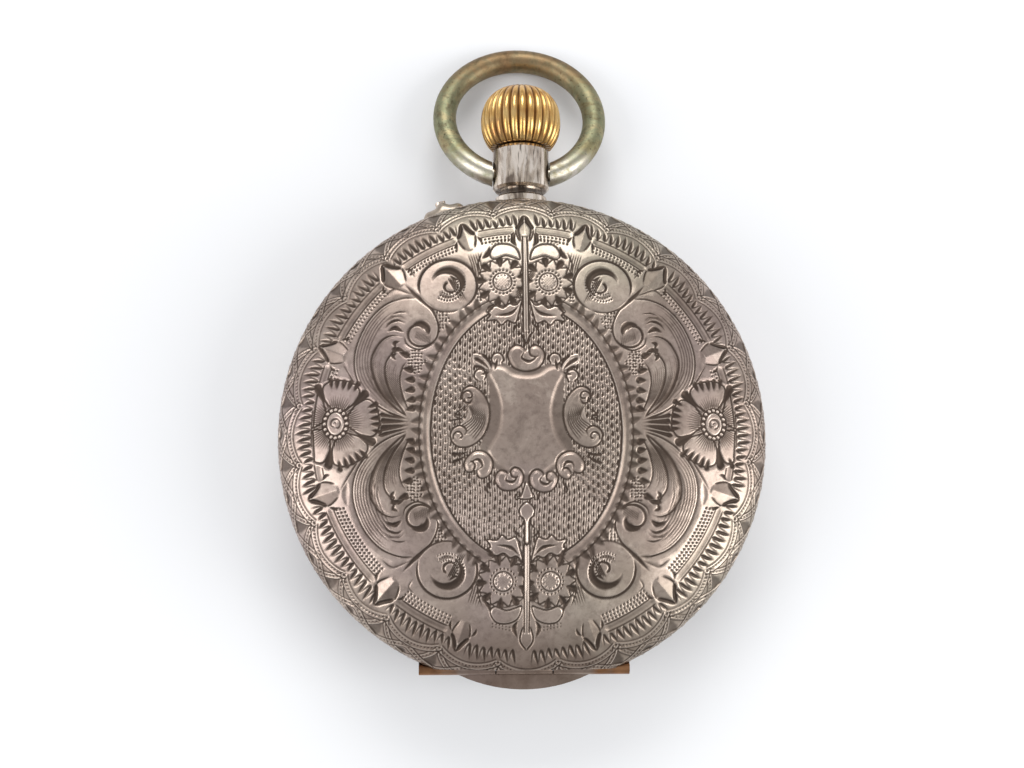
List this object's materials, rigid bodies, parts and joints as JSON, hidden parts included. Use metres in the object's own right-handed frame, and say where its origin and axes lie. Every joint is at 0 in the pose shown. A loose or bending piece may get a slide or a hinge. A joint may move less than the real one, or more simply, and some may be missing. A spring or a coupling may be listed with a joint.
{
  "type": "fob watch",
  "caption": "Open-face keyless fob watch with a hinged, domed and engraved back, an inner dust cover, a turning crown, a swinging bow and a working train of wheels.",
  "frame": {"origin": "centre of the crystal's flat outer face, on which the watch rests face down", "axes": "+Z from the crystal to the back cover, +Y from the middle of the case to the pendant (12 o'clock), +X to the right when the back is seen with the pendant up (9 o'clock side)"},
  "size_m": [0.035, 0.049, 0.011],
  "materials": {
    "case_silver": "satin",
    "bow_bronze": "satin",
    "crown_gilt": "polished",
    "dust_cover_metal": "polished",
    "steel": "polished",
    "blued_steel": "polished",
    "gilt_brass": "satin",
    "ruby": "polished",
    "crystal_glass": "polished",
    "enamel": "gloss"
  },
  "bodies": {
    "case": {"middle_case": "case_silver", "pendant": "case_silver", "stem_sleeve": "steel", "pin_set_olive": "case_silver", "back_hinge_pin": "steel", "cuvette_hinge_pin": "steel", "bezel_hinge_pin": "steel", "main_plate": "gilt_brass", "barrel_bridge": "gilt_brass", "third_cock": "gilt_brass", "fourth_cock": "gilt_brass", "escape_cock": "gilt_brass", "pallet_cock": "gilt_brass", "balance_cock": "gilt_brass", "jewels": "ruby", "bridge_screws": "blued_steel", "case_screws": "blued_steel", "dial": "enamel", "hairspring": "blued_steel", "hairspring_stud": "steel", "click_screw": "blued_steel", "click_spring": "steel", "crown_wheel_screw": "blued_steel"},
    "back": {"back_cover": "case_silver"},
    "dust_cover": {"cuvette": "dust_cover_metal"},
    "front": {"bezel": "case_silver", "crystal": "crystal_glass"},
    "bow": {"bow": "bow_bronze"},
    "crown_and_stem": {"crown": "crown_gilt", "winding_stem": "steel", "winding_pinion": "steel"},
    "clutch": {"clutch": "steel"},
    "set_pin": {"set_pin": "case_silver"},
    "set_lever": {"set_lever": "steel"},
    "crown_wheel": {"crown_wheel": "steel"},
    "ratchet": {"ratchet_wheel": "steel", "ratchet_screw": "blued_steel", "barrel_arbor": "steel"},
    "barrel": {"barrel": "gilt_brass", "barrel_cover": "gilt_brass", "mainspring": "blued_steel"},
    "centre": {"centre_wheel": "gilt_brass", "cannon_pinion": "steel", "minute_hand": "blued_steel"},
    "third": {"third_wheel": "gilt_brass"},
    "fourth": {"fourth_wheel": "gilt_brass", "seconds_hand": "blued_steel"},
    "escape": {"escape_wheel": "steel"},
    "pallets": {"pallet_fork": "steel", "pallet_stones": "ruby"},
    "balance": {"balance_wheel": "gilt_brass", "balance_staff": "steel"},
    "click": {"click": "steel"},
    "regulator": {"regulator": "steel"},
    "minute_work": {"minute_wheel": "gilt_brass"},
    "hour": {"hour_wheel": "gilt_brass", "hour_hand": "blued_steel"},
    "setting": {"setting_wheel": "gilt_brass"}
  },
  "joints": [
    {"name": "back_hinge", "type": "hinge", "parent": "case", "child": "back", "pos_m": [0, -0.0163, 0.0066], "axis": [1, 0, 0], "range_deg": [0, 97]},
    {"name": "dust_cover_hinge", "type": "hinge", "parent": "case", "child": "dust_cover", "pos_m": [0, -0.01515, 0.0069], "axis": [1, 0, 0], "range_deg": [0, 85.4]},
    {"name": "front_hinge", "type": "hinge", "parent": "case", "child": "front", "pos_m": [0, -0.0163, 0.0028], "axis": [1, 0, 0], "range_deg": [-95, 0]},
    {"name": "bow_pivot", "type": "hinge", "parent": "case", "child": "bow", "pos_m": [0, 0.02, 0.0048], "axis": [1, 0, 0], "range_deg": [-95, 135]},
    {"name": "crown_turn", "type": "hinge", "parent": "case", "child": "crown_and_stem", "pos_m": [0, 0.024, 0.0048], "axis": [0, 1, 0], "continuous": true},
    {"name": "clutch_slide", "type": "slide", "parent": "crown_and_stem", "child": "clutch", "axis": [0, -1, 0], "range_m": [0, 0.0004555]},
    {"name": "set_pin_push", "type": "slide", "parent": "case", "child": "set_pin", "axis": [0.3256, -0.9455, 0], "range_m": [0, 0.0003]},
    {"name": "set_lever_turn", "type": "hinge", "parent": "case", "child": "set_lever", "pos_m": [-0.009, 0.0095, 0.0049], "axis": [0, 0, 1], "range_deg": [-3.17, 0]},
    {"name": "crown_wheel_turn", "type": "hinge", "parent": "case", "child": "crown_wheel", "pos_m": [0, 0.00901, 0.0075], "axis": [0, 0, 1], "continuous": true},
    {"name": "ratchet_turn", "type": "hinge", "parent": "case", "child": "ratchet", "pos_m": [-0.00378, 0.0045, 0.0075], "axis": [0, 0, 1], "continuous": true},
    {"name": "barrel_turn", "type": "hinge", "parent": "case", "child": "barrel", "pos_m": [-0.00378, 0.0045, 0.0056], "axis": [0, 0, 1], "continuous": true},
    {"name": "centre_turn", "type": "hinge", "parent": "case", "child": "centre", "pos_m": [0, 0, 0.005], "axis": [0, 0, 1], "continuous": true},
    {"name": "third_turn", "type": "hinge", "parent": "case", "child": "third", "pos_m": [-0.00264, -0.00386, 0.0055], "axis": [0, 0, 1], "continuous": true},
    {"name": "fourth_turn", "type": "hinge", "parent": "case", "child": "fourth", "pos_m": [0, -0.006, 0.0055], "axis": [0, 0, 1], "continuous": true},
    {"name": "escape_turn", "type": "hinge", "parent": "case", "child": "escape", "pos_m": [0.00277, -0.00779, 0.0055], "axis": [0, 0, 1], "continuous": true},
    {"name": "pallet_swing", "type": "hinge", "parent": "case", "child": "pallets", "pos_m": [0.00445, -0.00639, 0.0054], "axis": [0, 0, 1], "range_deg": [-5, 5]},
    {"name": "balance_swing", "type": "hinge", "parent": "case", "child": "balance", "pos_m": [0.00661, -0.0046, 0.0066], "axis": [0, 0, 1], "range_deg": [-220, 220], "stiffness_Nm_per_rad": 0.0000002},
    {"name": "click_lift", "type": "hinge", "parent": "case", "child": "click", "pos_m": [-0.00863, 0.0073, 0.0075], "axis": [0, 0, 1], "range_deg": [-12, 0]},
    {"name": "regulator_turn", "type": "hinge", "parent": "case", "child": "regulator", "pos_m": [0.00661, -0.0046, 0.0081], "axis": [0, 0, 1], "range_deg": [-20, 20]},
    {"name": "minute_work_turn", "type": "hinge", "parent": "case", "child": "minute_work", "pos_m": [0, 0.0024, 0.0036], "axis": [0, 0, 1], "continuous": true},
    {"name": "hour_turn", "type": "hinge", "parent": "case", "child": "hour", "pos_m": [0, 0, 0.003], "axis": [0, 0, 1], "continuous": true},
    {"name": "setting_turn", "type": "hinge", "parent": "case", "child": "setting", "pos_m": [0, 0.0067, 0.0036], "axis": [0, 0, 1], "continuous": true}
  ],
  "couplings": [
    {"joint": "dust_cover_hinge", "follows": "back_hinge", "ratio": 0.88},
    {"joint": "clutch_slide", "follows": "set_pin_push", "ratio": 1.5175},
    {"joint": "set_lever_turn", "follows": "set_pin_push", "rad_per_m": -184.61},
    {"joint": "crown_wheel_turn", "follows": "crown_turn", "ratio": -0.875},
    {"joint": "ratchet_turn", "follows": "crown_turn", "ratio": 0.60345},
    {"joint": "third_turn", "follows": "fourth_turn", "ratio": -0.13333},
    {"joint": "centre_turn", "follows": "fourth_turn", "ratio": 0.016667},
    {"joint": "barrel_turn", "follows": "fourth_turn", "ratio": -0.0027778},
    {"joint": "escape_turn", "follows": "fourth_turn", "ratio": -10},
    {"joint": "minute_work_turn", "follows": "fourth_turn", "ratio": -0.0055556},
    {"joint": "hour_turn", "follows": "fourth_turn", "ratio": 0.0013889},
    {"joint": "setting_turn", "follows": "fourth_turn", "ratio": 0.004}
  ]
}
